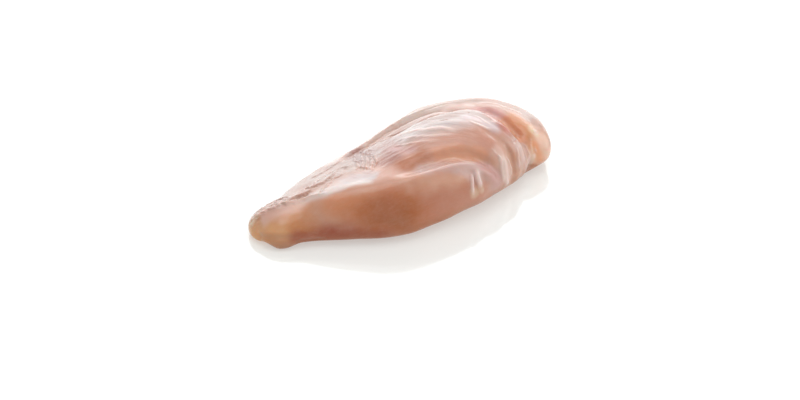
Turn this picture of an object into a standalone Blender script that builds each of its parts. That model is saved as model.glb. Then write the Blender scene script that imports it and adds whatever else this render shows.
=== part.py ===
"""A raw, skinless chicken breast: one boneless half, lying on its flat underside.

The tapering tail points along -X and the thick shoulder end along +X. The rounded outer flank
faces -Y, and the straighter edge that was cut from the breastbone faces +Y. A ball is drawn out
through a few cross-sections, then the muscle bundles, seams and folds are raised or sunk along
named lines. It is one piece of meat, so it is one solid.
"""

from typing import NamedTuple

import bmesh
import bpy
import numpy as np
from mathutils import Matrix, Vector
from mathutils.bvhtree import BVHTree

MM = 0.001

# Driving sizes
LENGTH = 175 * MM
WIDTH = 82 * MM
HEIGHT = 34 * MM

# Cross-sections from the tail to the shoulder. Each row holds its place along the length, then
# the reach of the flank and of the breastbone side, the height of the crest, the height of the
# shelf beside the breastbone edge, and how far the crest lies from the middle. They are shares of
# the length, of half the width and of the height.
SECTIONS = np.array(
    (
        (0.00, 0.22, 0.34, 0.27, 0.25, 0.12),
        (0.06, 0.34, 0.37, 0.38, 0.32, 0.08),
        (0.13, 0.47, 0.43, 0.47, 0.38, -0.02),
        (0.24, 0.76, 0.64, 0.62, 0.44, -0.26),
        (0.34, 0.99, 0.76, 0.74, 0.47, -0.46),
        (0.47, 1.04, 0.89, 0.86, 0.48, -0.30),
        (0.60, 1.00, 1.04, 0.97, 0.53, -0.14),
        (0.74, 0.91, 1.12, 0.96, 0.62, -0.18),
        (0.87, 0.77, 0.88, 0.77, 0.63, -0.06),
        (1.00, 0.68, 0.64, 0.60, 0.56, 0.00),
    )
)
TAIL_ROUNDING = 0.055
SHOULDER_ROUNDING = 0.14
END_FULLNESS = 2.3
BELLY_LEVEL = 0.36
TUCK_UNDER = 1.22
FULLNESS = 2.35
CREST_BREADTH = 0.95

# Where a lip stands beside its line, and how broad it is, as shares of the line's reach
LIP_PLACE = 0.7
LIP_BREADTH = 0.7

# Mesh fineness
RINGS = 200
SEGMENTS = 150
LINE_STEP = 1 * MM
SMOOTHING_ROUNDS = 4
SMOOTHING_STRENGTH = 0.5
CUT_TOLERANCE = 0.001 * MM
KEPT_TRIANGLES = 9000


class Line(NamedTuple):
    """A muscle bundle, seam or fold that follows the surface through a few points.

    It rises by `rise` over `reach` to either side, and a lip stands up beside it, to the right of
    its run. It comes and goes over the two lengths of `fade`.
    """

    points: tuple
    reach: float
    rise: float
    fade: tuple = (12, 12)
    lip: float = 0
    sharp: bool = False


# Points, reaches, rises, fades and lips are in millimetres. A negative rise is sunk into the meat.
LINES = {
    "flank_bundle": Line(
        ((-66, -4, 16), (-42, -18, 24), (-20, -30, 26), (6, -38, 20), (30, -40, 10)),
        reach=14, rise=2.2, fade=(20, 10),
    ),
    "flank_seam": Line(
        (
            (-26, -24, 29), (-10, -26, 28), (6, -27, 28), (17, -29, 28), (27, -33, 24), (35, -36, 16),
            (38, -38, 9),
        ),
        reach=7, rise=-3.0, fade=(18, 10), lip=1.6, sharp=True,
    ),
    "main_bundle": Line(
        ((-4, -4, 28), (20, -5, 32), (42, -10, 30)),
        reach=22, rise=1.2, fade=(20, 16),
    ),
    "keel_seam": Line(
        ((-24, 21, 15), (-10, 25, 14), (6, 28, 14), (18, 28, 17), (30, 26, 19), (42, 22, 22), (52, 15, 24)),
        reach=6, rise=-3.4, fade=(12, 10), sharp=True,
    ),
    "rim": Line(
        (
            (-6, 33, 12), (14, 34, 15), (28, 34, 17), (40, 34, 18), (52, 31, 20), (63, 27, 20),
            (74, 18, 19), (80, 5, 17), (80, -9, 16), (75, -21, 12), (71, -26, 5),
        ),
        reach=8.5, rise=2.7, fade=(48, 6),
    ),
    "shoulder_seam": Line(
        (
            (40, 24, 22), (50, 16, 25), (57, 7, 26), (61, -3, 26), (61, -13, 25), (61, -22, 20),
            (63, -29, 11), (64, -29, 1),
        ),
        reach=11, rise=-5.6, fade=(14, 2), sharp=True,
    ),
    "first_fold": Line(
        ((38, -16, 31), (43, -26, 27), (46, -33, 18), (45, -36, 4)),
        reach=5, rise=-2.0, fade=(8, 2), sharp=True,
    ),
    "second_fold": Line(
        ((50, -18, 28), (55, -27, 21), (55, -33, 10), (53, -34, 2)),
        reach=4, rise=-1.6, fade=(8, 2), sharp=True,
    ),
    "first_dimple": Line(((18, -38, 24), (17, -43, 12)), reach=3, rise=-1.4, fade=(4, 4), sharp=True),
    "second_dimple": Line(((24, -37, 24), (23, -41, 13)), reach=3, rise=-1.4, fade=(4, 4), sharp=True),
    "first_wrinkle": Line(
        ((-9, 18, 18), (-18, 2, 26), (-27, -14, 29)),
        reach=4, rise=-1.1, fade=(6, 10), sharp=True,
    ),
    "second_wrinkle": Line(
        ((-14, 22, 15), (-23, 4, 24), (-32, -12, 28)),
        reach=4, rise=-1.1, fade=(6, 10), sharp=True,
    ),
    "third_wrinkle": Line(
        ((-22, 22, 14), (-29, 8, 21), (-36, -6, 26)),
        reach=4, rise=-0.9, fade=(6, 10), sharp=True,
    ),
    "keel_strip": Line(
        ((-76, 4, 12), (-60, 2, 18), (-46, 4, 21), (-32, 10, 20)),
        reach=3, rise=0.9, fade=(8, 6),
    ),
    "tail_notch": Line(
        ((-86, 3, 9), (-86, -2, 4), (-82, -7, 1)),
        reach=5, rise=-1.4, fade=(4, 2), sharp=True,
    ),
    "tail_flap": Line(((-83, -8, 2), (-70, -15, 2)), reach=8, rise=2.0, fade=(4, 8)),
}

MEAT_COLOUR = (0.62, 0.31, 0.21, 1)
MEAT_ROUGHNESS = 0.28


def clear_scene():
    """Removes what the startup scene holds."""
    for thing in list(bpy.data.objects):
        bpy.data.objects.remove(thing)


def eased(table, along):
    """The columns of a table, read smoothly at places along its first column."""
    places, values = table[:, 0], table[:, 1:]
    slopes = np.gradient(values, places, axis=0)
    left = np.clip(np.searchsorted(places, along, side="right") - 1, 0, len(places) - 2)
    span = (places[left + 1] - places[left])[:, None]
    u = (along - places[left])[:, None] / span
    start, end = values[left], values[left + 1]
    rise_out, rise_in = slopes[left] * span, slopes[left + 1] * span
    return (
        (2 * u**3 - 3 * u**2 + 1) * start
        + (u**3 - 2 * u**2 + u) * rise_out
        + (3 * u**2 - 2 * u**3) * end
        + (u**3 - u**2) * rise_in
    )


def end_rounding(along):
    """How far the sections have opened, from 0 at either end to 1 in between."""
    tail = np.clip(1 - along / TAIL_ROUNDING, 0, 1)
    shoulder = np.clip(1 - (1 - along) / SHOULDER_ROUNDING, 0, 1)
    closing = np.maximum(tail, shoulder)
    return np.clip(1 - closing**END_FULLNESS, 0, 1) ** (1 / END_FULLNESS)


def draw_out(ball):
    """Moves the points of a unit ball, its poles on X, onto the cross-sections."""
    along = (ball[:, 0] + 1) / 2
    flank, keel, height, shelf, crest = eased(SECTIONS, along).T
    opened = end_rounding(along)
    flank, keel, crest = (share * WIDTH / 2 for share in (flank, keel, crest))
    height, shelf = height * HEIGHT, shelf * HEIGHT
    around = np.arctan2(ball[:, 2], ball[:, 1])
    across, upward = np.cos(around), np.sin(around)
    fuller = 2 / FULLNESS
    outward = np.abs(across) ** fuller
    lift = np.abs(upward) ** fuller
    on_keel = across > 0
    sideways = np.where(on_keel, crest + outward * (keel - crest), crest - outward * (flank + crest))
    belly = BELLY_LEVEL * shelf
    crown = (1 + np.cos(np.pi * np.clip(outward / CREST_BREADTH, 0, 1))) / 2
    over_keel = belly + (shelf - belly) * lift + (height - shelf) * crown
    over_flank = belly + (height - belly) * lift
    above = belly + (np.where(on_keel, over_keel, over_flank) - belly) * opened
    below = belly - TUCK_UNDER * belly * lift * opened
    return np.stack(
        [LENGTH * (along - 0.5), sideways * opened, np.where(upward > 0, above, below)], axis=1
    )


def smooth_path(points):
    """Evenly eased points along a line, in metres, with the distance run at each."""
    corners = np.array(points, float) * MM
    run = np.concatenate([[0], np.cumsum(np.linalg.norm(np.diff(corners, axis=0), axis=1))])
    places = np.linspace(0, run[-1], max(3, int(run[-1] / LINE_STEP)))
    return eased(np.column_stack([run, corners]), places), places


def bump(share):
    """A soft swelling, 1 at a share of 0 and 0 from 1 on."""
    return (1 + np.cos(np.pi * np.clip(np.abs(share), 0, 1))) / 2


def relief(line, points, surface):
    """How far each point of the surface moves out for one line."""
    path, run = smooth_path(line.points)
    snapped = [surface.find_nearest(Vector(place)) for place in path]
    path = np.array([place for place, *_ in snapped])
    upright = np.array([normal for _, normal, *_ in snapped])
    rightward = np.cross(np.gradient(path, axis=0), upright)
    rightward /= np.linalg.norm(rightward, axis=1, keepdims=True)

    apart = np.linalg.norm(points[:, None, :] - path[None, :, :], axis=2)
    nearest = apart.argmin(axis=1)
    distance = apart.min(axis=1) / (line.reach * MM)
    side = np.sign(((points - path[nearest]) * rightward[nearest]).sum(axis=1))
    profile = (1 - np.clip(distance, 0, 1)) ** 2 if line.sharp else bump(distance)
    beside = bump((distance * side - LIP_PLACE) / LIP_BREADTH)

    from_start = run[nearest] / (line.fade[0] * MM)
    from_end = (run[-1] - run[nearest]) / (line.fade[1] * MM)
    strength = np.clip(np.minimum(from_start, from_end), 0, 1)
    strength = 3 * strength**2 - 2 * strength**3
    return (line.rise * profile + line.lip * beside) * MM * strength


def cut_flat(mesh):
    """Cuts away what hangs below the resting plane and closes the underside with one flat face."""
    everything = mesh.verts[:] + mesh.edges[:] + mesh.faces[:]
    cut = bmesh.ops.bisect_plane(
        mesh, geom=everything, dist=CUT_TOLERANCE,
        plane_co=(0, 0, 0), plane_no=(0, 0, -1), clear_outer=True,
    )
    rim = [piece for piece in cut["geom_cut"] if isinstance(piece, bmesh.types.BMEdge)]
    bmesh.ops.edgeloop_fill(mesh, edges=rim)


def centre_on_base(mesh):
    """Puts the origin under the middle of the piece, on the plane that it rests on."""
    places = np.array([vert.co for vert in mesh.verts])
    low, high = places.min(axis=0), places.max(axis=0)
    middle = Vector((*((low + high) / 2)[:2], low[2]))
    bmesh.ops.translate(mesh, verts=mesh.verts, vec=-middle)


def model_meat():
    """The breast's mesh: a ball drawn out, given its relief, and cut flat to rest."""
    mesh = bmesh.new()
    poles_on_x = Matrix.Rotation(np.pi / 2, 4, "Y")
    bmesh.ops.create_uvsphere(
        mesh, u_segments=SEGMENTS, v_segments=RINGS, radius=1, matrix=poles_on_x
    )
    ball = np.array([vert.co for vert in mesh.verts])
    for vert, place in zip(mesh.verts, draw_out(ball)):
        vert.co = place
    bmesh.ops.recalc_face_normals(mesh, faces=mesh.faces)
    mesh.normal_update()

    points = np.array([vert.co for vert in mesh.verts])
    outward = np.array([vert.normal for vert in mesh.verts])
    surface = BVHTree.FromBMesh(mesh)
    moved = sum(relief(line, points, surface) for line in LINES.values())
    for vert, place in zip(mesh.verts, points + outward * moved[:, None]):
        vert.co = place
    for _ in range(SMOOTHING_ROUNDS):
        bmesh.ops.smooth_vert(
            mesh, verts=mesh.verts, factor=SMOOTHING_STRENGTH,
            use_axis_x=True, use_axis_y=True, use_axis_z=True,
        )

    cut_flat(mesh)
    centre_on_base(mesh)
    bmesh.ops.triangulate(mesh, faces=mesh.faces)
    return mesh


def meat_material():
    """Moist, pale pink flesh."""
    material = bpy.data.materials.new("raw_meat")
    material.use_nodes = True
    shader = material.node_tree.nodes["Principled BSDF"]
    shader.inputs["Base Color"].default_value = MEAT_COLOUR
    shader.inputs["Roughness"].default_value = MEAT_ROUGHNESS
    shader.inputs["Metallic"].default_value = 0
    material.diffuse_color = MEAT_COLOUR
    return material


def add_breast():
    """The chicken breast as one named object in its own collection."""
    collection = bpy.data.collections.new("chicken_breast")
    bpy.context.scene.collection.children.link(collection)
    mesh = model_meat()
    fine_triangles = len(mesh.faces)
    data = bpy.data.meshes.new("breast_meat")
    mesh.to_mesh(data)
    mesh.free()
    data.shade_smooth()
    data.materials.append(meat_material())
    breast = bpy.data.objects.new("breast_meat", data)
    collection.objects.link(breast)

    lighter = breast.modifiers.new("fewer_triangles", "DECIMATE")
    lighter.ratio = KEPT_TRIANGLES / fine_triangles
    lighter.use_collapse_triangulate = True
    return breast


def main():
    clear_scene()
    add_breast()


main()
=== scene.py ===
"""A raw, skinless chicken breast with moist flesh, thin fascia, muscle seams and fibres.

The solid of the breast is remeshed finely, its seams, folds and torn fascia are drawn along named
lines, and its colours are laid down in zones that fade into each other. Some of these paint light and
shade: painted shade low on the flank by the table and in hollows, and painted highlights and glints
on crests, streaks and small ridges. All lines and zones are in millimetres in the solid's own frame:
the tail points along -X, the rounded flank faces -Y, the breastbone edge +Y, and the meat rests on
Z = 0.
"""

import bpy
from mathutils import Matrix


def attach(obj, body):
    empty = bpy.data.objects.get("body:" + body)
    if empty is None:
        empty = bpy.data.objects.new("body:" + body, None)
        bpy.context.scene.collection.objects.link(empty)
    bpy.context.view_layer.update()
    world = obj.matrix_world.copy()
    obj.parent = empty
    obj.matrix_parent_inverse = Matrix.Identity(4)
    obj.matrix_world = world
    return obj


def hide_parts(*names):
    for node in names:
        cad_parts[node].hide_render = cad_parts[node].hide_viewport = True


bl_info = {
    "name": "Raw Chicken Breast",
    "version": (1, 0, 0),
    "blender": (4, 5, 0),
    "location": "3D View > Sidebar > Chicken",
    "description": "Dresses a chicken breast in moist flesh and sets it in a pale studio",
    "category": "Object",
}

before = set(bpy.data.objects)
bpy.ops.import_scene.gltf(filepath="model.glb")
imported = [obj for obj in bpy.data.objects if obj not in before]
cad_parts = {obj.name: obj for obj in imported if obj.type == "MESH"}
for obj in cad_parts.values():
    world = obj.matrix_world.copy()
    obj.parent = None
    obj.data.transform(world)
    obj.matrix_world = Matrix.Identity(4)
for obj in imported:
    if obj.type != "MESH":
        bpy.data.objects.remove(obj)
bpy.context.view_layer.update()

from math import cos, pi, radians, sin
from typing import NamedTuple

import bmesh
import bpy
import numpy as np
from bpy.props import FloatProperty, FloatVectorProperty, IntProperty, PointerProperty
from mathutils import Vector, noise
from mathutils.bvhtree import BVHTree

MM = 0.001
SOLID = "breast_meat"

# How wide the ragged edge of torn fascia is, in millimetres
TEAR_WIDTH = 0.95

# The flat underside needs no fine cells: this share of its faces is taken out
UNDERSIDE_HEIGHT = 0.05 * MM
UNDERSIDE_THINNING = 0.9
MERGE_DISTANCE = 0.001 * MM

# The painted contact shade low on the flank fades in over this distance out from the middle, towards the flank
NEAR_SIDE_FADE = 12 * MM


class Line(NamedTuple):
    """A fold, seam or torn edge drawn along the surface.

    It rises over its reach and may wander. A stepped one rises on the right of its run only. A
    tint above 0 makes it paler and one below 0 darker.
    """

    points: tuple
    reach: float
    rise: float
    fade: tuple = (6, 6)
    wander: float = 0
    stepped: bool = False
    tint: float = 0


class Zone(NamedTuple):
    """A stretch of the meat with a colour of its own, round a line over the surface."""

    colour: str
    points: tuple
    reach: float
    strength: float = 1
    edge: float = 0.3
    fade: tuple = (0, 0)


# Lines with a tint above 0 are paler: on the seam's lip, the shoulder's crest, the curl, the streaks, the dimples, the
# glints and the shreds this is partly pale fascia and partly painted highlight
FINE_LINES = {
    "flank_seam_floor": Line(
        ((-16, -23, 27), (-6, -24, 28), (2, -24, 29), (11, -26, 29), (20, -28, 28), (28, -33, 24), (32, -36, 20)),
        reach=4.0, rise=-0.6, fade=(20, 4), wander=0.4, tint=-0.12,
    ),
    # The seam's lip is paler, partly as painted highlight
    "flank_seam_lip": Line(
        (
            (-27, -27, 27), (-20, -28, 27), (-12, -27, 26), (-6, -26, 26), (1, -27, 27),
            (7, -28, 27), (13, -29, 27), (18, -33, 26), (24, -36, 23), (31, -38, 18),
        ),
        reach=1.4, rise=0.35, fade=(34, 10), wander=0.7, tint=0.25,
    ),
    "shoulder_seam_floor": Line(
        ((56, 9, 25), (61, 5, 24), (62, 1, 24), (63, -4, 23), (62, -14, 22), (62, -22, 20), (63, -28, 13)),
        reach=3.4, rise=-1.2, fade=(6, 12), wander=0.5, tint=-0.2,
    ),
    "shoulder_seam_foot": Line(
        ((61, -20, 21), (62, -24, 18), (63, -28, 12), (64, -29, 5)),
        reach=4.0, rise=1.1, fade=(5, 3), tint=0.15,
    ),
    # Paler along the shoulder's top rim, partly as painted highlight
    "shoulder_crest": Line(
        ((60, 15, 23), (66, 13, 23), (70, 9, 23), (72, 2, 23), (75, -4, 22), (75, -10, 22)),
        reach=2.4, rise=0.5, fade=(8, 8), wander=0.8, tint=0.45,
    ),
    "far_groove": Line(
        (
            (-26, 20, 15), (-14, 24, 14), (-2, 27, 14), (6, 28, 14), (12, 29, 15), (19, 28, 17),
            (28, 26, 19), (38, 24, 21), (50, 19, 22),
        ),
        reach=1.1, rise=-0.4, fade=(8, 26), wander=0.9, tint=-0.6,
    ),
    "far_line": Line(
        ((4, 24, 17), (10, 18, 22), (17, 14, 26), (25, 14, 27), (33, 14, 28), (40, 13, 28), (50, 17, 24)),
        reach=1.2, rise=-0.5, fade=(8, 24), wander=0.7, tint=-0.7,
    ),
    "mound_back": Line(
        ((-2, 22, 16), (10, 17, 23), (20, 13, 27), (32, 12, 29), (44, 12, 28), (52, 16, 24)),
        reach=9.0, rise=-1.3, fade=(14, 10),
    ),
    "rim_line": Line(
        ((30, 30, 20), (40, 28, 21), (46, 27, 22), (53, 25, 22)),
        reach=1.0, rise=-0.3, fade=(6, 6), wander=0.8, tint=-0.2,
    ),
    "far_strip": Line(
        ((-22, 25, 12), (-4, 30, 13), (12, 32, 15), (28, 31, 18), (42, 28, 21)),
        reach=1.6, rise=0.5, fade=(8, 8), wander=0.9, tint=0.3,
    ),
    "mound_slit": Line(((22, -4, 34), (25, -5, 34), (28, -6, 34)), reach=0.9, rise=-0.4, fade=(2, 2), tint=-0.8),
    "mound_nick": Line(((42, -2, 32), (44, -3, 32)), reach=0.9, rise=-0.4, fade=(0.6, 0.6), tint=-0.9),
    # The curl's pale edges are partly painted highlight
    "curl_low": Line(
        ((36, -11, 34), (37, -15, 33), (39, -18, 32), (41, -20, 31), (45, -22, 30)),
        reach=1.6, rise=0.35, fade=(4, 5), wander=0.3, tint=0.9,
    ),
    "curl_up": Line(
        ((48, -4, 31), (50, -8, 31), (50, -14, 30), (50, -20, 30)),
        reach=1.1, rise=0.2, fade=(5, 5), wander=0.4, tint=0.4,
    ),
    "curl_inner": Line(
        ((42, -6, 33), (44, -10, 32), (44, -15, 32), (46, -19, 31)),
        reach=1.6, rise=0.2, fade=(4, 4), wander=0.4, tint=0.6,
    ),
    "mound_edge": Line(
        ((51, 2, 30), (54, -6, 29), (55, -13, 28), (55, -19, 27), (56, -24, 24), (57, -27, 20)),
        reach=4.0, rise=-0.6, fade=(8, 6), tint=-0.1,
    ),
    # Pale streaks on the bundle's top, partly pale fascia and partly painted highlight
    "mound_streak_far": Line(
        ((3, 12, 23), (5, 7, 27), (8, 1, 30), (13, -6, 33), (20, -11, 34), (25, -18, 33)),
        reach=2.2, rise=0.3, fade=(8, 6), wander=0.7, tint=0.8,
    ),
    "mound_streak_mid": Line(
        ((-1, 2, 27), (3, -3, 30), (7, -8, 32), (11, -12, 33), (16, -15, 33), (24, -19, 33)),
        reach=1.6, rise=0.2, fade=(8, 8), wander=0.7, tint=0.6,
    ),
    "mound_streak_near": Line(
        ((-5, 0, 26), (-2, -6, 29), (2, -10, 31), (8, -15, 32), (14, -18, 32)),
        reach=1.2, rise=0.2, fade=(6, 6), wander=0.6, tint=0.3,
    ),
    "first_fold_back": Line(
        ((38, -34, 25), (38, -36, 21), (38, -38, 17), (38, -39, 13), (38, -40, 9)),
        reach=1.3, rise=0.5, fade=(4, 3), wander=0.4, tint=0.8,
    ),
    "first_fold_broad": Line(
        ((38, -35, 24), (40, -37, 20), (40, -38, 17), (40, -39, 13), (41, -39, 6)),
        reach=2.8, rise=0.7, fade=(5, 2), wander=0.3, tint=0.9,
    ),
    "first_fold_front": Line(
        ((42, -35, 22), (44, -36, 18), (45, -37, 13), (43, -38, 9)),
        reach=1.2, rise=0.5, fade=(4, 3), wander=0.5, tint=0.7,
    ),
    "first_fold_strand": Line(
        ((35, -31, 28), (37, -34, 25), (38, -36, 23), (39, -37, 20)),
        reach=0.8, rise=0.4, fade=(4, 4), wander=0.5, tint=0.5,
    ),
    "fold_gap": Line(
        ((45, -29, 26), (46, -32, 23), (47, -34, 20), (47, -35, 17), (47, -36, 13), (47, -37, 9)),
        reach=2.0, rise=-0.8, fade=(6, 3),
    ),
    "fold_crease": Line(
        ((47, -14, 30), (50, -18, 28), (53, -23, 25), (55, -27, 21), (55, -31, 15)),
        reach=3.6, rise=1.0, fade=(6, 6),
    ),
    "fold_mark": Line(
        ((51, -30, 24), (53, -28, 23), (56, -26, 22)),
        reach=0.9, rise=-0.3, fade=(1, 1), tint=-0.6,
    ),
    "second_fold_back": Line(
        ((52, -30, 23), (52, -32, 21), (52, -34, 19), (51, -35, 17), (51, -36, 14), (50, -37, 12)),
        reach=1.4, rise=0.6, fade=(3, 3), wander=0.4, tint=0.8,
    ),
    "second_fold_broad": Line(
        ((54, -29, 22), (56, -30, 19), (57, -32, 16), (56, -34, 12)),
        reach=3.2, rise=0.5, fade=(3, 4), wander=0.3, tint=0.5,
    ),
    "second_fold_front": Line(
        ((59, -26, 20), (61, -26, 18), (62, -28, 14), (62, -29, 10), (58, -33, 6)),
        reach=1.9, rise=0.35, fade=(4, 3), wander=0.7, tint=0.3,
    ),
    "second_fold_strand": Line(
        ((62, -28, 12), (60, -31, 10), (58, -33, 7)),
        reach=1.2, rise=0.4, fade=(2, 2), wander=0.5, tint=0.5,
    ),
    # Painted glints: pale tints on small ridges of the shoulder's near end
    "glint_patch": Line(
        ((71, -22, 21), (72, -23, 20), (72, -25, 19)),
        reach=2.8, rise=0.25, fade=(1.5, 1.5), wander=0.8, tint=0.75,
    ),
    "glint_left": Line(
        ((66, -24, 20), (66, -26, 18), (65, -28, 15), (65, -29, 12)),
        reach=1.1, rise=0.25, fade=(3, 3), wander=1.0, tint=0.35,
    ),
    "glint_right": Line(
        ((67, -28, 16), (67, -29, 14), (68, -30, 12)),
        reach=1.0, rise=0.3, fade=(2, 2), wander=0.4, tint=0.6,
    ),
    "glint_low": Line(
        ((65, -29, 13), (66, -29, 11), (66, -30, 9)),
        reach=1.6, rise=0.2, fade=(2, 2), wander=0.6, tint=0.8,
    ),
    "lobe_foot": Line(
        ((63, -29, 6), (65, -30, 5), (67, -30, 4), (70, -29, 4)),
        reach=2.4, rise=-0.2, fade=(2, 3), tint=-0.7,
    ),
    # Pale dimples, partly pale fascia and partly painted highlight
    "first_dimple": Line(
        ((17, -39, 22), (16, -41, 20), (15, -43, 17), (15, -44, 11)),
        reach=1.7, rise=1.1, fade=(3, 6), tint=1.3,
    ),
    "second_dimple": Line(
        ((21, -38, 23), (20, -40, 21), (20, -42, 18), (21, -43, 14)),
        reach=2.4, rise=1.2, fade=(3, 4), tint=1.3,
    ),
    "dimple_shade": Line(
        ((20, -39, 22), (18, -41, 20), (18, -43, 16), (18, -44, 12)),
        reach=1.2, rise=-0.4, fade=(3, 5), tint=0,
    ),
    "first_tear": Line(
        (
            (-57, 5, 15), (-53, 3, 17), (-52, 1, 18), (-48, 0, 19), (-44, 1, 19),
            (-39, 3, 19), (-35, 7, 18), (-31, 10, 17), (-27, 10, 17), (-24, 7, 19),
        ),
        reach=2.4, rise=0.6, fade=(3, 4), wander=1.0, stepped=True, tint=-0.95,
    ),
    "second_tear": Line(
        ((-55, -9, 20), (-53, -8, 20), (-49, -6, 21), (-42, -2, 20), (-36, 0, 20), (-31, 1, 20)),
        reach=2.0, rise=0.6, fade=(3, 4), wander=1.0, stepped=True, tint=-0.85,
    ),
    # Painted shade in a hollow of the torn fascia
    "tear_hollow_shade": Line(
        ((-64, -1, 16), (-60, -2, 17), (-57, -3, 18), (-54, -3, 19)),
        reach=1.9, rise=-0.8, fade=(2, 3), wander=1.2, tint=-1.0,
    ),
    "tear_ridge": Line(
        ((-62, 5, 15), (-56, 3, 18), (-48, 4, 18), (-40, 8, 17), (-30, 12, 16)),
        reach=1.3, rise=0.5, fade=(5, 5), wander=1.5, tint=0.5,
    ),
    "crest_edge": Line(
        ((-70, 0, 15), (-67, -1, 16), (-64, -3, 17), (-61, -4, 17), (-57, -6, 19), (-54, -9, 20), (-50, -12, 22)),
        reach=3.2, rise=0.6, fade=(3, 5), wander=0.6, stepped=True, tint=-0.5,
    ),
    "far_tear": Line(
        ((-46, 14, 14), (-40, 15, 14), (-34, 17, 14), (-26, 20, 13), (-18, 23, 12)),
        reach=1.8, rise=0.5, fade=(5, 5), wander=1.0, stepped=True, tint=-0.5,
    ),
    "tail_tear": Line(
        ((-84, 9, 8), (-78, 9, 10), (-72, 9, 11), (-67, 8, 13), (-62, 4, 16)),
        reach=1.8, rise=0.8, fade=(12, 4), wander=1.6, stepped=True, tint=-0.8,
    ),
    "tail_ridge": Line(
        ((-83, 5, 10), (-78, 3, 12), (-74, 2, 14), (-70, 1, 15), (-66, 0, 16)),
        reach=1.3, rise=0.6, fade=(3, 4), wander=1.8, tint=0.6,
    ),
    "flap_tuck": Line(
        ((-75, -17, 4), (-70, -19, 3), (-65, -21, 3), (-59, -24, 3)),
        reach=3.0, rise=-0.8, fade=(4, 4),
    ),
    "tail_flap_seam": Line(
        ((-87, -3, 5), (-85, -8, 6), (-82, -12, 7), (-78, -15, 7), (-72, -18, 6)),
        reach=2.6, rise=-0.6, fade=(2, 5), tint=-0.3,
    ),
}

# Wrinkles drawn across the fibres, from the breastbone edge to the crest
WRINKLES = (
    ((-9, 26, 12), (-19, 11, 17), (-25, 0, 21), (-29, -5, 22)),
    ((-6, 25, 12), (-18, 6, 20), (-24, -3, 22), (-28, -8, 23)),
    ((-8, 17, 17), (-16, 5, 21), (-23, -5, 23), (-28, -11, 24)),
    ((-10, 10, 20), (-17, -1, 23), (-22, -8, 24), (-26, -14, 25)),
    ((-12, 3, 23), (-18, -6, 25), (-23, -12, 25)),
)
for number, points in enumerate(WRINKLES):
    FINE_LINES[f"wrinkle_{number}"] = Line(points, reach=1.1, rise=0.7, fade=(5, 6), wander=0.7, tint=0.5)

# Shreds of fascia along the top of the tail, paler partly as painted glints
SHREDS = (
    ((-83, 6, 10), (-80, 6, 11)),
    ((-77, 8, 10), (-75, 10, 9)),
    ((-74, 3, 13), (-72, 5, 13)),
    ((-71, 6, 13), (-69, 4, 14)),
    ((-67, 5, 14), (-65, 2, 16)),
)
for number, points in enumerate(SHREDS):
    FINE_LINES[f"shred_{number}"] = Line(points, reach=1.1, rise=0.8, fade=(1.5, 1.5), wander=0.5, tint=1.0)

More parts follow.
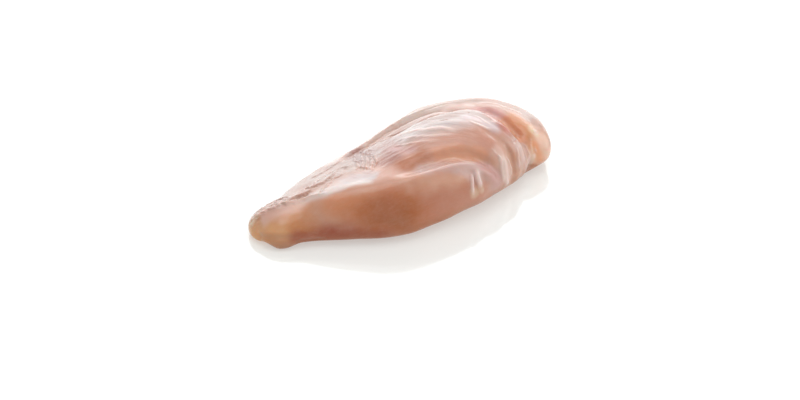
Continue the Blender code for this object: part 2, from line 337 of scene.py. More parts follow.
ZONES = {
    "flank": Zone(
        "flank", ((-82, -8, 8), (-68, -14, 10), (-42, -26, 14), (-14, -40, 16), (16, -44, 14), (38, -38, 10)),
        reach=34, edge=0.25, fade=(36, 0),
    ),
    "tail_top": Zone("fascia", ((-87, 3, 8), (-82, 8, 9), (-76, 10, 10), (-68, 9, 12)), reach=5, strength=0.6, edge=0.5),
    "flank_red": Zone("flank_red", ((-52, -20, 20), (-44, -26, 20), (-36, -32, 21), (-28, -34, 22)), reach=9, strength=0.6, edge=0.5),
    # Darker flesh low on the flank, carried along the base as painted shade
    "flank_deep_and_shade": Zone(
        "flank_deep_and_shade", ((-70, -20, 7), (-54, -28, 8), (-33, -37, 13), (-14, -44, 10), (6, -46, 7), (22, -45, 6)),
        reach=18, strength=0.95, edge=0.4, fade=(44, 44),
    ),
    "flank_darkest": Zone(
        "flank_darkest", ((-46, -31, 14), (-36, -35, 16), (-31, -39, 15), (-25, -42, 13), (-15, -44, 11)),
        reach=11, strength=0.75, edge=0.5, fade=(14, 12),
    ),
    # Painted contact shade in a deep rust red along the foot of the flank
    "flank_contact_shade": Zone(
        "contact_shade", ((-77, -16, 5), (-71, -18, 5), (-64, -21, 4), (-54, -27, 3), (-40, -35, 2), (-26, -42, 2)),
        reach=10, strength=0.95, edge=0.4, fade=(5, 14),
    ),
    "flank_right": Zone(
        "rosy", ((-26, -41, 15), (-14, -43, 15), (4, -44, 14), (24, -43, 11), (40, -38, 8)),
        reach=13, strength=0.8, edge=0.4, fade=(24, 6),
    ),
    "tail": Zone("tail", ((-90, 2, 6), (-80, -6, 10), (-66, -16, 12), (-52, -25, 13)), reach=17, strength=0.9, edge=0.4, fade=(0, 26)),
    "tail_tip": Zone("tip", ((-88, 2, 6), (-85, -5, 6), (-80, -11, 5)), reach=10, strength=0.8, edge=0.5),
    # Painted shadow of the tuck at the tail's foot
    "tail_foot_shade": Zone("contact_shade", ((-72, -18, 6), (-66, -21, 4), (-60, -24, 3), (-52, -28, 2)), reach=6, strength=0.85, edge=0.5),
    # Painted glints: yellowish white specks along the tail's top
    "tail_glints": Zone("fat", ((-85, 4, 8), (-82, 5, 10), (-78, 6, 12), (-73, 5, 13)), reach=3, strength=0.6, edge=0.9),
    "tail_mauve": Zone("tail_mauve", ((-82, 3, 11), (-75, -1, 13), (-68, -4, 15), (-58, -9, 18)), reach=7, strength=0.8, edge=0.5, fade=(2, 10)),
    "bundle_lower": Zone("bundle_low", ((-22, -18, 28), (8, -20, 31), (32, -26, 29)), reach=17, strength=0.9),
    "bundle_upper": Zone("bundle_high", ((-8, 6, 25), (8, 2, 30), (26, -4, 33), (44, -6, 32)), reach=16, strength=0.9),
    "valley": Zone("valley", ((8, -24, 29), (19, -28, 28), (28, -32, 25)), reach=7, strength=0.6, edge=0.4),
    "mauve": Zone("mauve", ((-3, 20, 16), (-5, 8, 23), (-7, -4, 27), (-13, -12, 28)), reach=10, strength=0.8, edge=0.5),
    "pink_patch": Zone("pink", ((-6, -4, 27), (-4, -10, 29), (-2, -14, 30)), reach=5, strength=0.7, edge=0.5),
    "mound_brown": Zone("mound_brown", ((-18, -19, 27), (-10, -21, 28), (0, -22, 30), (8, -22, 31)), reach=7, strength=0.8, edge=0.5, fade=(6, 10)),
    "shoulder_roll": Zone(
        "shoulder", ((62, 18, 20), (70, 8, 20), (74, -6, 18), (70, -24, 12)), reach=20, strength=1.0,
    ),
    "lobe_orange": Zone(
        "lobe_orange", ((66, 0, 24), (67, -8, 24), (68, -15, 23), (68, -21, 22), (67, -25, 19), (66, -28, 14), (66, -30, 8)),
        reach=7, strength=0.85, edge=0.4, fade=(8, 5),
    ),
    "shoulder_side": Zone("shoulder_pale", ((73, -26, 17), (72, -29, 13), (74, -22, 8)), reach=8, strength=0.8, edge=0.5),
    "lobe_low": Zone("lobe_gold", ((67, -28, 16), (67, -29, 13), (68, -30, 9), (67, -30, 5)), reach=4.5, strength=0.8, edge=0.4),
    # Painted glints on the shoulder's near end and at the foot of the dimples
    "lobe_glint": Zone("fat", ((70, -22, 21), (71, -24, 19)), reach=2.6, strength=0.45, edge=0.8),
    "lobe_glint_low": Zone("fat", ((65, -28, 14), (65, -29, 11), (65, -29, 8)), reach=2.6, strength=0.4, edge=0.8),
    "dimple_glints": Zone("fat", ((15, -43, 14), (16, -44, 12), (20, -43, 15), (21, -43, 13)), reach=3, strength=0.4, edge=0.8),
    "shoulder_rim": Zone(
        "rim_skin", ((50, 28, 22), (62, 22, 22), (72, 14, 22), (78, 4, 21), (79, -6, 20), (77, -16, 19)),
        reach=6, strength=0.7, edge=0.5, fade=(8, 6),
    ),
    "shoulder_seam": Zone(
        "seam", ((53, 12, 26), (60, 8, 25), (62, 3, 24), (63, -4, 23)), reach=6, strength=0.8, edge=0.6,
    ),
    "seam_low": Zone("seam_warm", ((63, -8, 23), (62, -17, 22), (62, -23, 20)), reach=6, strength=0.8, edge=0.5),
    "shelf": Zone("shelf", ((-72, 10, 10), (-46, 10, 16), (-20, 14, 18)), reach=20, strength=0.95),
    # Pale fascia along the crest, whitened partly as painted highlight
    "crest": Zone(
        "crest", ((-68, -3, 16), (-54, -9, 20), (-46, -13, 22), (-38, -16, 24), (-29, -22, 26)),
        reach=6, strength=0.75, edge=0.5, fade=(22, 4),
    ),
    # Painted highlight on the top of the crest
    "crest_painted_highlight": Zone(
        "white", ((-50, -10, 21), (-40, -10, 22), (-34, -12, 24), (-30, -16, 25), (-26, -21, 27)), reach=7.5, strength=0.75, edge=0.5, fade=(12, 3),
    ),
    "far_rim": Zone("fascia", ((-22, 30, 10), (8, 36, 13), (44, 34, 18)), reach=12, strength=0.8),
    "far_seam": Zone(
        "seam_dark", ((-24, 22, 14), (-8, 26, 13), (8, 28, 15), (24, 28, 18), (42, 22, 22)),
        reach=3, strength=0.3, edge=0.5,
    ),
    "far_band": Zone(
        "tan", ((-10, 28, 11), (8, 31, 14), (20, 30, 17), (36, 28, 20), (50, 25, 22)), reach=7, strength=0.7, edge=0.5,
    ),
    "far_pale": Zone("pale", ((43, 19, 24), (49, 21, 22), (53, 20, 22), (58, 16, 23)), reach=5, strength=0.6, edge=0.5),
    "curl": Zone("curl", ((39, -8, 33), (43, -11, 33), (44, -15, 32), (46, -19, 31)), reach=6.5, strength=0.9, edge=0.4),
    "mound_fascia": Zone("mound_skin", ((20, 5, 32), (30, 0, 33), (42, 0, 32), (48, -12, 31)), reach=7, strength=0.7, edge=0.6),
    "membrane": Zone(
        "violet", ((-5, -30, 26), (5, -33, 27), (13, -37, 25), (20, -39, 23)), reach=7, strength=0.9, edge=0.4,
    ),
    "membrane_end": Zone("violet", ((20, -40, 22), (28, -40, 18), (33, -40, 12)), reach=10, strength=0.6, edge=0.5),
    "mound_side": Zone(
        "mound_side", ((52, -4, 30), (53, -12, 29), (53, -18, 28), (53, -23, 26), (53, -27, 24)),
        reach=7, strength=0.9, edge=0.4, fade=(6, 5),
    ),
    "violet_patch": Zone("violet_deep", ((26, -37, 22), (30, -38, 18), (33, -39, 13)), reach=6, strength=0.7, edge=0.5),
    "fold_lobe": Zone("violet", ((53, -30, 22), (56, -31, 19), (57, -32, 15)), reach=5.5, strength=0.7, edge=0.5),
    "folds": Zone("pale", ((38, -34, 24), (41, -38, 12)), reach=7, strength=0.35, edge=0.5),
    "folds_right": Zone("pale", ((55, -29, 22), (58, -30, 17), (60, -31, 9)), reach=6, strength=0.4, edge=0.5),
    "wrinkled": Zone("wrinkle_pink", ((-9, 24, 13), (-15, 8, 19), (-21, -2, 22)), reach=9, strength=0.85, edge=0.5, fade=(0, 9)),
}

# Where the strands of the fibres stand out, and where the skin is drawn into wrinkles
STRANDED = Zone("", ((-14, 0, 26), (8, -4, 31), (30, -8, 33), (46, -22, 29)), reach=26, fade=(0, 26))
RAGGED = (
    Zone("", ((-84, 4, 10), (-76, 5, 12), (-68, 2, 15), (-60, 0, 17)), reach=6, edge=0.5),
    Zone("", ((-60, -1, 18), (-48, 0, 19), (-38, 3, 19), (-28, 6, 19)), reach=4, strength=0.6, edge=0.5),
)
WRINKLED = Zone("", ((-9, 20, 15), (-18, 5, 21), (-27, -9, 25)), reach=9, edge=0.5)

# The fibres run along X and then bend down towards the flank round this point
FIBRE_CENTRE = np.array((-10, -62)) * MM


class MeatSettings(bpy.types.PropertyGroup):
    """Sizes and colours of the meat."""

    voxel: FloatProperty(name="Detail", description="Size of the finest surface cells", default=0.56 * MM, unit="LENGTH", precision=5)
    smoothing: IntProperty(name="Smoothing", description="Rounds that take the facets off the solid", default=22, min=0)
    lumps: FloatProperty(name="Lumps", description="Height of the soft unevenness", default=0.35 * MM, unit="LENGTH", precision=5)
    strands: FloatProperty(name="Strands", description="Height of the bundles of fibres", default=0.16 * MM, unit="LENGTH", precision=5)
    wrinkles: FloatProperty(name="Wrinkles", description="Height of the drawn-up wrinkles", default=0.2 * MM, unit="LENGTH", precision=5)
    ragged: FloatProperty(name="Ragged fascia", description="Height of the ridges of torn fascia", default=0.28 * MM, unit="LENGTH", precision=5)
    flesh: FloatVectorProperty(name="Flesh", description="Main colour of the flesh", default=(0.502, 0.299, 0.244), subtype="COLOR")
    flank: FloatVectorProperty(name="Flank", description="Colour of the rounded flank", default=(0.656, 0.348, 0.234), subtype="COLOR")
    # Darker flesh low on the flank, partly painted shade along the base
    flank_deep_and_shade: FloatVectorProperty(name="Deep flank", description="Darkest colour low on the flank", default=(0.455, 0.113, 0.012), subtype="COLOR")
    # Painted contact shade, deep rust red, at the foot of the tail and flank
    contact_shade: FloatVectorProperty(name="Rust", description="Deep rust colour at the foot of the tail", default=(0.36, 0.055, 0.01), subtype="COLOR")
    rosy: FloatVectorProperty(name="Rosy flank", description="Pinker colour towards the shoulder", default=(0.558, 0.218, 0.131), subtype="COLOR")
    tail: FloatVectorProperty(name="Tail", description="Tan colour of the thin tail", default=(0.617, 0.244, 0.073), subtype="COLOR")
    bundle_low: FloatVectorProperty(name="Bundle, low", description="Colour low on the main bundle", default=(0.62, 0.315, 0.23), subtype="COLOR")
    bundle_high: FloatVectorProperty(name="Bundle, high", description="Colour on top of the main bundle", default=(0.588, 0.506, 0.495), subtype="COLOR")
    shoulder: FloatVectorProperty(name="Shoulder", description="Peach colour of the shoulder roll", default=(0.528, 0.3, 0.229), subtype="COLOR")
    lobe_orange: FloatVectorProperty(name="Orange shoulder", description="Orange beside the shoulder seam", default=(0.675, 0.287, 0.12), subtype="COLOR")
    lobe_gold: FloatVectorProperty(name="Golden shoulder", description="Lighter orange low on the shoulder's near end", default=(0.95, 0.43, 0.22), subtype="COLOR")
    shoulder_pale: FloatVectorProperty(name="Pale shoulder", description="Lighter peach on the outer side of the shoulder", default=(0.95, 0.64, 0.48), subtype="COLOR")
    seam: FloatVectorProperty(name="Seam", description="Pink in the shoulder seam", default=(0.83, 0.476, 0.455), subtype="COLOR")
    seam_warm: FloatVectorProperty(name="Warm seam", description="Orange brown low in the shoulder seam", default=(0.73, 0.287, 0.136), subtype="COLOR")
    valley: FloatVectorProperty(name="Valley", description="Orange above the flank seam", default=(0.775, 0.352, 0.19), subtype="COLOR")
    seam_dark: FloatVectorProperty(name="Dark seam", description="Brown in the breastbone seam", default=(0.47, 0.25, 0.175), subtype="COLOR")
    rim_skin: FloatVectorProperty(name="Rim skin", description="Greyish skin round the shoulder's outer edge", default=(0.482, 0.37, 0.325), subtype="COLOR")
    fascia: FloatVectorProperty(name="Fascia", description="Colour of the thin pale skin of the muscle", default=(0.74, 0.62, 0.575), subtype="COLOR")
    shelf: FloatVectorProperty(name="Shelf", description="Pinkish grey skin behind the crest", default=(0.379, 0.223, 0.177), subtype="COLOR")
    mound_skin: FloatVectorProperty(name="Bundle skin", description="Pale skin on top of the main bundle", default=(0.276, 0.113, 0.072), subtype="COLOR")
    mound_side: FloatVectorProperty(name="Bundle side", description="Pinkish brown beside the shoulder seam", default=(0.6, 0.22, 0.165), subtype="COLOR")
    wrinkle_pink: FloatVectorProperty(name="Wrinkle pink", description="Pinkish brown between the wrinkles", default=(0.19, 0.02, 0.012), subtype="COLOR")
    violet: FloatVectorProperty(name="Membrane", description="Greyish violet skin over the flank", default=(0.61, 0.41, 0.37), subtype="COLOR")
    # Pale fascia colour for the folds and the lines with a tint above 0; on the lip, crests, curl, streaks, dimples,
    # glints and shreds it is partly painted highlight
    pale: FloatVectorProperty(name="Pale folds", description="Whitish skin on the folds at the shoulder", default=(0.88, 0.68, 0.62), subtype="COLOR")
    flank_red: FloatVectorProperty(name="Red flank", description="Reddish orange under the crest", default=(0.68, 0.222, 0.066), subtype="COLOR")
    flank_darkest: FloatVectorProperty(name="Darkest flank", description="Brown in the middle of the flank", default=(0.403, 0.127, 0.042), subtype="COLOR")
    tip: FloatVectorProperty(name="Tail tip", description="Yellowish tan at the tip of the tail", default=(0.755, 0.408, 0.19), subtype="COLOR")
    tail_mauve: FloatVectorProperty(name="Mauve tail", description="Greyish pink along the tail's upper side", default=(0.95, 0.64, 0.54), subtype="COLOR")
    mauve: FloatVectorProperty(name="Mauve", description="Greyish pink on the bundle's left side", default=(0.294, 0.066, 0.034), subtype="COLOR")
    pink: FloatVectorProperty(name="Pink", description="Pink patch low on the bundle's left side", default=(0.54, 0.275, 0.255), subtype="COLOR")
    mound_brown: FloatVectorProperty(name="Brown bundle", description="Brown above the flank seam", default=(0.467, 0.143, 0.045), subtype="COLOR")
    tan: FloatVectorProperty(name="Tan", description="Brownish pink of the strip at the far edge", default=(0.664, 0.527, 0.464), subtype="COLOR")
    # Crest colour: pale fascia, whitened partly as painted highlight
    crest: FloatVectorProperty(name="Crest", description="Pale skin along the crest", default=(0.79, 0.775, 0.765), subtype="COLOR")
    # Painted highlight on the crest's top, near white
    white: FloatVectorProperty(name="White skin", description="Whitest skin on the crest", default=(0.51, 0.455, 0.475), subtype="COLOR")
    # Painted glints, yellowish white
    fat: FloatVectorProperty(name="Fat", description="Yellowish white of the small glints of fat", default=(0.86, 0.72, 0.5), subtype="COLOR")
    curl: FloatVectorProperty(name="Curl", description="Violet white of the curled skin", default=(0.655, 0.532, 0.544), subtype="COLOR")
    violet_deep: FloatVectorProperty(name="Deep violet", description="Violet pink beside the first fold", default=(0.57, 0.29, 0.275), subtype="COLOR")
    # Painted contact shade low on the near side, at the table
    painted_base_shade: FloatVectorProperty(name="Base", description="Dark colour low down, at the table", default=(0.41, 0.165, 0.08), subtype="COLOR")
    gloss: FloatProperty(name="Gloss", description="Roughness of the wet surface", default=0.36, min=0, max=1)


class StageSettings(bpy.types.PropertyGroup):
    """The view and the light."""

    azimuth: FloatProperty(name="Azimuth", description="Side the camera looks from", default=radians(-35), subtype="ANGLE")
    elevation: FloatProperty(name="Elevation", description="Height the camera looks from", default=radians(32.5), subtype="ANGLE")
    distance: FloatProperty(name="Distance", description="Camera to the point it looks at", default=0.8, unit="LENGTH")
    target: FloatVectorProperty(name="Target", description="Point that the camera looks at", default=(-0.01465, -0.0225, 0.0092), subtype="TRANSLATION")
    lens: FloatProperty(name="Lens", description="Focal length", default=71.6, subtype="DISTANCE_CAMERA")
    surround: FloatProperty(name="Surround", description="Strength of the light from all round", default=0.62)
    overhead: FloatProperty(name="Overhead", description="Power of the light above", default=2.0, subtype="POWER")
    back: FloatProperty(name="Back", description="Power of the light behind", default=3.4, subtype="POWER")
    horizon: FloatProperty(name="Horizon", description="Power of the low light far behind", default=5.5, subtype="POWER")
    side: FloatProperty(name="Side", description="Power of the light to the right", default=2.6, subtype="POWER")
    glow: FloatProperty(name="Glow", description="Strength of the light from the table", default=0.42)


def smoothstep(share):
    share = np.clip(share, 0, 1)
    return share * share * (3 - 2 * share)


def eased(table, along):
    """The columns of a table, read smoothly at places along its first column."""
    places, values = table[:, 0], table[:, 1:]
    slopes = np.gradient(values, places, axis=0)
    left = np.clip(np.searchsorted(places, along, side="right") - 1, 0, len(places) - 2)
    span = (places[left + 1] - places[left])[:, None]
    u = (along - places[left])[:, None] / span
    return (
        (2 * u**3 - 3 * u**2 + 1) * values[left]
        + (u**3 - 2 * u**2 + u) * slopes[left] * span
        + (3 * u**2 - 2 * u**3) * values[left + 1]
        + (u**3 - u**2) * slopes[left + 1] * span
    )


def path_on(surface, points, wander=0):
    """A smooth path laid on the surface, the surface's normals along it, and the distance run."""
    corners = np.array(points, float) * MM
    run = np.concatenate([[0], np.cumsum(np.linalg.norm(np.diff(corners, axis=0), axis=1))])
    places = np.linspace(0, run[-1], max(3, int(run[-1] / (0.7 * MM))))
    path = eased(np.column_stack([run, corners]), places)
    if wander:
        shifts = [noise.noise_vector(Vector(p) * 260) + 0.5 * noise.noise_vector(Vector(p) * 700) for p in path]
        path = path + np.array(shifts) * wander * MM
    landed = [surface.find_nearest(Vector(p)) for p in path]
    return np.array([place for place, *_ in landed]), np.array([normal for _, normal, *_ in landed]), places


def nearness(points, path, reach):
    """Each point's distance to the path as a share of the reach, and the nearest place on it."""
    near = np.all((points > path.min(axis=0) - reach) & (points < path.max(axis=0) + reach), axis=1)
    share = np.full(len(points), 9.0)
    place = np.zeros(len(points), int)
    apart = np.linalg.norm(points[near][:, None, :] - path[None, :, :], axis=2)
    place[near] = apart.argmin(axis=1)
    share[near] = apart.min(axis=1) / reach
    return share, place


def relief_of(line, points, surface):
    """How far each point moves out for one line, and how much of the line's tint it takes."""
    path, upright, run = path_on(surface, line.points, line.wander)
    share, place = nearness(points, path, line.reach * MM)
    fading = np.minimum(run[place] / (line.fade[0] * MM), (run[-1] - run[place]) / (line.fade[1] * MM))
    strength = smoothstep(fading)
    profile = 1 - smoothstep(share)
    narrow = 1 - smoothstep(share * line.reach / TEAR_WIDTH) if line.stepped else profile
    if line.stepped:
        rightward = np.cross(np.gradient(path, axis=0), upright)
        rightward /= np.linalg.norm(rightward, axis=1, keepdims=True)
        side = ((points - path[place]) * rightward[place]).sum(axis=1)
        profile = profile * smoothstep(side / (TEAR_WIDTH * MM) + 0.5)
    return line.rise * MM * profile * strength, line.tint * narrow * strength


def mask_of(zone, points, surface, waver):
    """How strongly each point takes the zone's colour."""
    path, _, run = path_on(surface, zone.points)
    share, place = nearness(points, path, zone.reach * MM * 1.5)
    share = share * 1.5 * (1 + zone.edge * waver)
    strength = zone.strength * (1 - smoothstep((share - 0.25) / 0.75))
    for passed, length in ((run[place], zone.fade[0]), (run[-1] - run[place], zone.fade[1])):
        if length:
            strength = strength * smoothstep(passed / (length * MM) + 0.2 * waver)
    return strength


def fibre_places(points):
    """Coordinates that run along the fibres, across them, and up."""
    bent = np.clip(points[:, 0] - FIBRE_CENTRE[0], 0, None)
    away = points[:, 1] - FIBRE_CENTRE[1]
    across = np.hypot(bent, away)
    along = np.where(bent > 0, across * np.arctan2(bent, np.clip(away, 1e-6, None)), points[:, 0] - FIBRE_CENTRE[0])
    return np.column_stack([along, across, points[:, 2]])


def noise_at(points, scale):
    """Soft noise from -1 to 1 at each point. The scale may differ along each axis."""
    return np.array([noise.noise(Vector(p)) for p in points * scale])


def coordinates(mesh):
    places = np.empty(len(mesh.vertices) * 3, np.float32)
    mesh.vertices.foreach_get("co", places)
    return places.reshape(-1, 3).astype(float)


def outward(mesh):
    normals = np.empty(len(mesh.vertices) * 3, np.float32)
    mesh.vertex_normals.foreach_get("vector", normals)
    return normals.reshape(-1, 3).astype(float)


def refined_copy(name, settings):
    """A fine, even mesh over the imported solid, with its facets smoothed away."""
    mesh = bmesh.new()
    mesh.from_mesh(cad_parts[SOLID].data)
    bmesh.ops.remove_doubles(mesh, verts=mesh.verts, dist=MERGE_DISTANCE)
    data = bpy.data.meshes.new(name)
    mesh.to_mesh(data)
    mesh.free()
    piece = bpy.data.objects.new(name, data)
    bpy.context.scene.collection.objects.link(piece)
    cells = piece.modifiers.new("cells", "REMESH")
    cells.mode = "VOXEL"
    cells.voxel_size = settings.voxel
    smoother = piece.modifiers.new("facets", "SMOOTH")
    smoother.factor = 0.5
    smoother.iterations = settings.smoothing
    apply_modifiers(piece)

    group = piece.vertex_groups.new(name="underside")
    heights = coordinates(piece.data)[:, 2]
    group.add(np.flatnonzero(heights < UNDERSIDE_HEIGHT).tolist(), 1, "REPLACE")
    thinner = piece.modifiers.new("thin_underside", "DECIMATE")
    thinner.vertex_group = group.name
    thinner.ratio = 1 - UNDERSIDE_THINNING * np.mean(heights < UNDERSIDE_HEIGHT)
    apply_modifiers(piece)
    piece.vertex_groups.clear()
    return piece


def apply_modifiers(piece):
    """Puts what the modifiers make in the place of the piece's mesh."""
    before = piece.data
    graph = bpy.context.evaluated_depsgraph_get()
    after = bpy.data.meshes.new_from_object(piece.evaluated_get(graph))
    piece.modifiers.clear()
    piece.data = after
    bpy.data.meshes.remove(before)
    after.name = piece.name


def sculpt(piece, settings):
    """Adds the fine lines, the soft lumps and the strands of the fibres."""
    mesh = piece.data
    surface = BVHTree.FromPolygons([v.co for v in mesh.vertices], [p.vertices for p in mesh.polygons])
    points, normals = coordinates(mesh), outward(mesh)
    clear_of_base = smoothstep(points[:, 2] / (3 * MM))
    moved, tint = np.zeros(len(points)), np.zeros(len(points))
    for line in FINE_LINES.values():
        rise, shade = relief_of(line, points, surface)
        moved += rise
        tint += shade
    moved += settings.lumps * noise_at(points, 95)
    fibres = fibre_places(points)
    stranded = mask_of(STRANDED, points, surface, 0)
    strands = noise_at(fibres, np.array((34, 380, 380))) + 0.5 * noise_at(fibres, np.array((70, 900, 900)))
    moved += settings.strands * strands * (0.15 + stranded)
    wrinkled = mask_of(WRINKLED, points, surface, noise_at(points, 150))
    wrinkles = 1 - 2 * np.abs(noise_at(fibres, np.array((420, 70, 70))))
    moved += settings.wrinkles * wrinkles * wrinkled
    # Painted shade between the wrinkles, and a pale tint on their ridges that is partly painted highlight
    tint += (0.6 * wrinkles - 0.5) * wrinkled
    waver = noise_at(points, 150)
    ragged = np.max([mask_of(zone, points, surface, waver) for zone in RAGGED], axis=0)
    ridges = 1 - 2.5 * np.abs(noise_at(fibres, np.array((330, 560, 560))))
    moved += settings.ragged * ridges * ragged
    # Pale tint on the ridges of torn fascia, partly as painted glints, and painted shade between them
    tint += (0.6 * ridges - 0.25) * ragged
    store(mesh, "stranded", stranded)
    store(mesh, "line_tint", np.clip(tint, -1, 1))
    points += normals * (moved * clear_of_base)[:, None]
    points[:, 2] = np.clip(points[:, 2], 0, None)
    mesh.vertices.foreach_set("co", points.astype(np.float32).ravel())
    mesh.update()
    return surface


def store(mesh, name, values, kind="FLOAT"):
    layer = mesh.attributes.new(name, kind, "POINT")
    layer.data.foreach_set("vector" if kind == "FLOAT_VECTOR" else "value", np.ascontiguousarray(values, np.float32).ravel())


def paint(piece, surface):
    """Stores the zones' masks and the fibres' directions on the mesh."""
    points = coordinates(piece.data)
    waver = noise_at(points, 70) + 0.5 * noise_at(points, 190)
    for name, zone in ZONES.items():
        store(piece.data, name, mask_of(zone, points, surface, waver))
    store(piece.data, "fibre", fibre_places(points), "FLOAT_VECTOR")
    store(piece.data, "near_side", smoothstep(-points[:, 1] / NEAR_SIDE_FADE))


class Nodes:
    """Adds and links the nodes of one material."""

    def __init__(self, name):
        self.material = bpy.data.materials.new(name)
        self.material.use_nodes = True
        self.tree = self.material.node_tree
        self.shader = self.tree.nodes["Principled BSDF"]

    def set(self, socket, value):
        if isinstance(value, bpy.types.NodeSocket):
            self.tree.links.new(value, socket)
        elif socket.type == "RGBA" and len(value) == 3:
            socket.default_value = (*value, 1)
        else:
            socket.default_value = value

    def add(self, kind, inputs=(), **settings):
        node = self.tree.nodes.new(kind)
        for key, value in settings.items():
            setattr(node, key, value)
        for key, value in dict(inputs).items():
            self.set(node.inputs[key], value)
        return node

    def attribute(self, name, output="Fac"):
        return self.add("ShaderNodeAttribute", attribute_name=name).outputs[output]

    def mix(self, share, first, second, blend="MIX"):
        node = self.add("ShaderNodeMix", data_type="RGBA", blend_type=blend)
        self.set(node.inputs[0], share)
        self.set(node.inputs[6], first)
        self.set(node.inputs[7], second)
        return node.outputs[2]

    def math(self, operation, first, second):
        return self.add("ShaderNodeMath", {0: first, 1: second}, operation=operation).outputs[0]

    def remap(self, value, low, high, to_low=0.0, to_high=1.0):
        node = self.add("ShaderNodeMapRange", {"Value": value, "From Min": low, "From Max": high, "To Min": to_low, "To Max": to_high})
        return node.outputs[0]

    def noise(self, vector, scale, detail=2, roughness=0.5, stretch=None):
        if stretch:
            vector = self.add("ShaderNodeMapping", {"Vector": vector, "Scale": stretch}).outputs[0]
        node = self.add("ShaderNodeTexNoise", {"Vector": vector, "Scale": scale, "Detail": detail, "Roughness": roughness})
        return node.outputs[0]


def meat_material(settings):
    """Moist flesh: zones of colour under streaks of fibre, soft light inside, and a wet film on top."""
    nodes = Nodes("moist_flesh")
    place = nodes.add("ShaderNodeTexCoord").outputs["Object"]
    fibre = nodes.attribute("fibre", "Vector")

    colour = settings.flesh
    for name, zone in ZONES.items():
        colour = nodes.mix(nodes.attribute(name), colour, getattr(settings, zone.colour))

    blotches = nodes.noise(place, 48, detail=2, roughness=0.5)
    mottle = nodes.noise(place, 170, detail=4, roughness=0.6)
    streaks = nodes.noise(fibre, 1, detail=5, roughness=0.62, stretch=(45, 800, 800))
    threads = nodes.noise(fibre, 1, detail=3, roughness=0.6, stretch=(120, 3000, 3000))
    tint = nodes.attribute("line_tint")
    stranded = nodes.remap(nodes.attribute("stranded"), 0, 1, 0.2, 1)
    colour = nodes.mix(nodes.remap(blotches, 0.45, 0.70, 0, 0.30), colour, settings.rosy)
    colour = nodes.mix(nodes.remap(mottle, 0.40, 0.75, 0, 0.12), colour, (0.74, 0.46, 0.38))
    for source, low, high, share, shade in (
        (streaks, 0.48, 0.72, 0.24, (0.86, 0.66, 0.58)),
        (streaks, 0.48, 0.28, 0.16, (0.46, 0.17, 0.10)),
        (threads, 0.52, 0.75, 0.10, (0.88, 0.70, 0.62)),
    ):
        amount = nodes.math("MULTIPLY", nodes.remap(source, low, high, 0, share), stranded)
        colour = nodes.mix(amount, colour, shade)
    # Tints above 0 take the pale colour, partly pale fascia and partly painted highlight; tints below 0 take the dark
    # seam colour, partly painted shade in hollows and between wrinkles and ridges
    colour = nodes.mix(nodes.remap(tint, 0, 1, 0, 0.9), colour, settings.pale)
    colour = nodes.mix(nodes.remap(tint, 0, -1, 0, 0.75), colour, settings.seam_dark)
    # Painted contact shade: darker within 9 mm of the table on the near side
    under = nodes.remap(nodes.add("ShaderNodeSeparateXYZ", {0: place}).outputs[2], 9 * MM, 0.5 * MM, 0, 0.9)
    colour = nodes.mix(nodes.math("MULTIPLY", under, nodes.attribute("near_side")), colour, settings.painted_base_shade)

    nodes.set(nodes.shader.inputs["Base Color"], colour)
    nodes.set(nodes.shader.inputs["Roughness"], nodes.remap(mottle, 0.3, 0.7, settings.gloss - 0.06, settings.gloss + 0.10))
    height = nodes.math("ADD", nodes.math("MULTIPLY", streaks, 0.8), nodes.math("MULTIPLY", threads, 0.25))
    height = nodes.math("MULTIPLY", height, stranded)
    height = nodes.math("ADD", height, nodes.math("MULTIPLY", mottle, 0.25))
    bump = nodes.add("ShaderNodeBump", {"Height": height, "Strength": 0.4, "Distance": 0.4 * MM})
    nodes.set(nodes.shader.inputs["Normal"], bump.outputs[0])
    film = nodes.add("ShaderNodeBump", {"Height": nodes.math("ADD", mottle, height), "Strength": 0.35, "Distance": 0.35 * MM})
    nodes.set(nodes.shader.inputs["Coat Normal"], film.outputs[0])
    for name, value in {
        "Subsurface Weight": 0.35,
        "Subsurface Radius": (1.0, 0.38, 0.22),
        "Subsurface Scale": 2.5 * MM,
        "Coat Weight": 0.8,
        "Coat Roughness": 0.09,
        "Coat IOR": 1.38,
        "IOR": 1.36,
    }.items():
        nodes.set(nodes.shader.inputs[name], value)
    return nodes.material


def floor_material(glow):
    """A white, glossy table top, lit from inside like a photographer's light table."""
    nodes = Nodes("white_table")
    place = nodes.add("ShaderNodeTexCoord").outputs["Object"]
    haze = nodes.noise(place, 6, detail=2)
    nodes.set(nodes.shader.inputs["Base Color"], nodes.mix(haze, (0.492, 0.505, 0.49), (0.512, 0.525, 0.51)))
    nodes.set(nodes.shader.inputs["Roughness"], 0.08)
    nodes.set(nodes.shader.inputs["IOR"], 1.9)
    nodes.set(nodes.shader.inputs["Emission Color"], (0.985, 1, 0.985))
    nodes.set(nodes.shader.inputs["Emission Strength"], glow)
    return nodes.material


def aim(thing, at):
    thing.rotation_euler = (Vector(at) - thing.location).to_track_quat("-Z", "Y").to_euler()


def add_softbox(name, power, size, where):
    data = bpy.data.lights.new(name, "AREA")
    data.shape = "RECTANGLE"
    data.size, data.size_y = size
    data.energy = power
    light = bpy.data.objects.new(name, data)
    light.location = where
    aim(light, (0, 0, 0))
    bpy.context.scene.collection.objects.link(light)


class CHICKEN_OT_add_meat(bpy.types.Operator):
    """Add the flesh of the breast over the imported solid"""

    bl_idname = "chicken.add_meat"
    bl_label = "Add Meat"

    def execute(self, context):
        settings = context.scene.chicken_meat
        piece = refined_copy("flesh", settings)
        surface = sculpt(piece, settings)
        paint(piece, surface)
        piece.data.shade_smooth()
        piece.data.materials.clear()
        piece.data.materials.append(meat_material(settings))
        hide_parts(SOLID)
        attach(piece, "root")
        return {"FINISHED"}


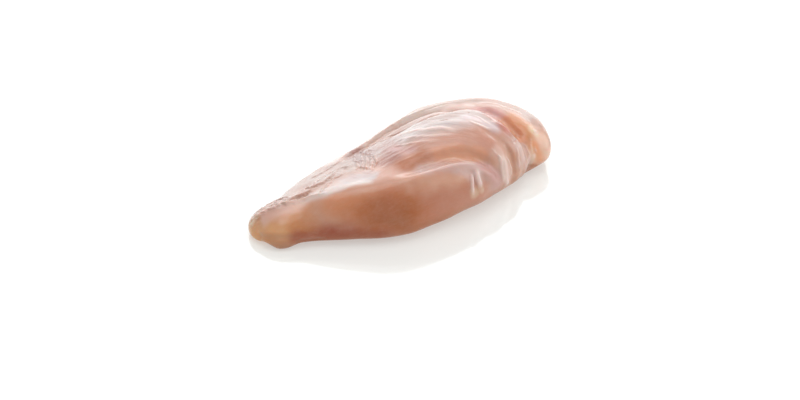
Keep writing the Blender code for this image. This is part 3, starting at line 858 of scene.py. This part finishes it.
class CHICKEN_OT_set_stage(bpy.types.Operator):
    """Set up the table, the soft lights and the camera"""

    bl_idname = "chicken.set_stage"
    bl_label = "Set Stage"

    def execute(self, context):
        settings = context.scene.chicken_stage
        scene = context.scene

        mesh = bmesh.new()
        bmesh.ops.create_grid(mesh, x_segments=1, y_segments=1, size=4)
        data = bpy.data.meshes.new("table")
        mesh.to_mesh(data)
        mesh.free()
        data.materials.append(floor_material(settings.glow))
        table = bpy.data.objects.new("table", data)
        scene.collection.objects.link(table)

        world = bpy.data.worlds.new("white_room")
        world.use_nodes = True
        world.node_tree.nodes["Background"].inputs["Color"].default_value = (1, 1, 1, 1)
        world.node_tree.nodes["Background"].inputs["Strength"].default_value = settings.surround
        scene.world = world
        scene.view_settings.view_transform = "Standard"

        add_softbox("overhead", settings.overhead, (0.7, 0.5), (0.05, 0.15, 0.9))
        add_softbox("back", settings.back, (1.2, 0.7), (0.52, 0.75, 0.60))
        add_softbox("horizon", settings.horizon, (2.4, 0.6), (0.83, 1.32, 0.29))
        add_softbox("side", settings.side, (0.7, 0.7), (0.90, -0.40, 0.42))

        data = bpy.data.cameras.new("camera")
        data.lens = settings.lens
        camera = bpy.data.objects.new("camera", data)
        scene.collection.objects.link(camera)
        azimuth, elevation = settings.azimuth, settings.elevation
        back = Vector((sin(azimuth) * cos(elevation), -cos(azimuth) * cos(elevation), sin(elevation)))
        camera.location = Vector(settings.target) + back * settings.distance
        aim(camera, settings.target)
        data.clip_start = 0.01
        scene.camera = camera
        return {"FINISHED"}


class CHICKEN_PT_sidebar(bpy.types.Panel):
    """The chicken breast's pieces and settings"""

    bl_label = "Chicken Breast"
    bl_idname = "CHICKEN_PT_sidebar"
    bl_space_type = "VIEW_3D"
    bl_region_type = "UI"
    bl_category = "Chicken"

    def draw(self, context):
        for heading, settings, operator in (
            ("Meat", context.scene.chicken_meat, "chicken.add_meat"),
            ("Stage", context.scene.chicken_stage, "chicken.set_stage"),
        ):
            box = self.layout.box()
            box.label(text=heading)
            for name in settings.__annotations__:
                box.prop(settings, name)
            box.operator(operator)


CLASSES = (MeatSettings, StageSettings, CHICKEN_OT_add_meat, CHICKEN_OT_set_stage, CHICKEN_PT_sidebar)


def register():
    for made in CLASSES:
        bpy.utils.register_class(made)
    bpy.types.Scene.chicken_meat = PointerProperty(type=MeatSettings)
    bpy.types.Scene.chicken_stage = PointerProperty(type=StageSettings)


def unregister():
    del bpy.types.Scene.chicken_stage
    del bpy.types.Scene.chicken_meat
    for made in reversed(CLASSES):
        bpy.utils.unregister_class(made)


def main():
    register()
    bpy.ops.chicken.add_meat()
    bpy.ops.chicken.set_stage()


if __name__ == "__main__":
    main()
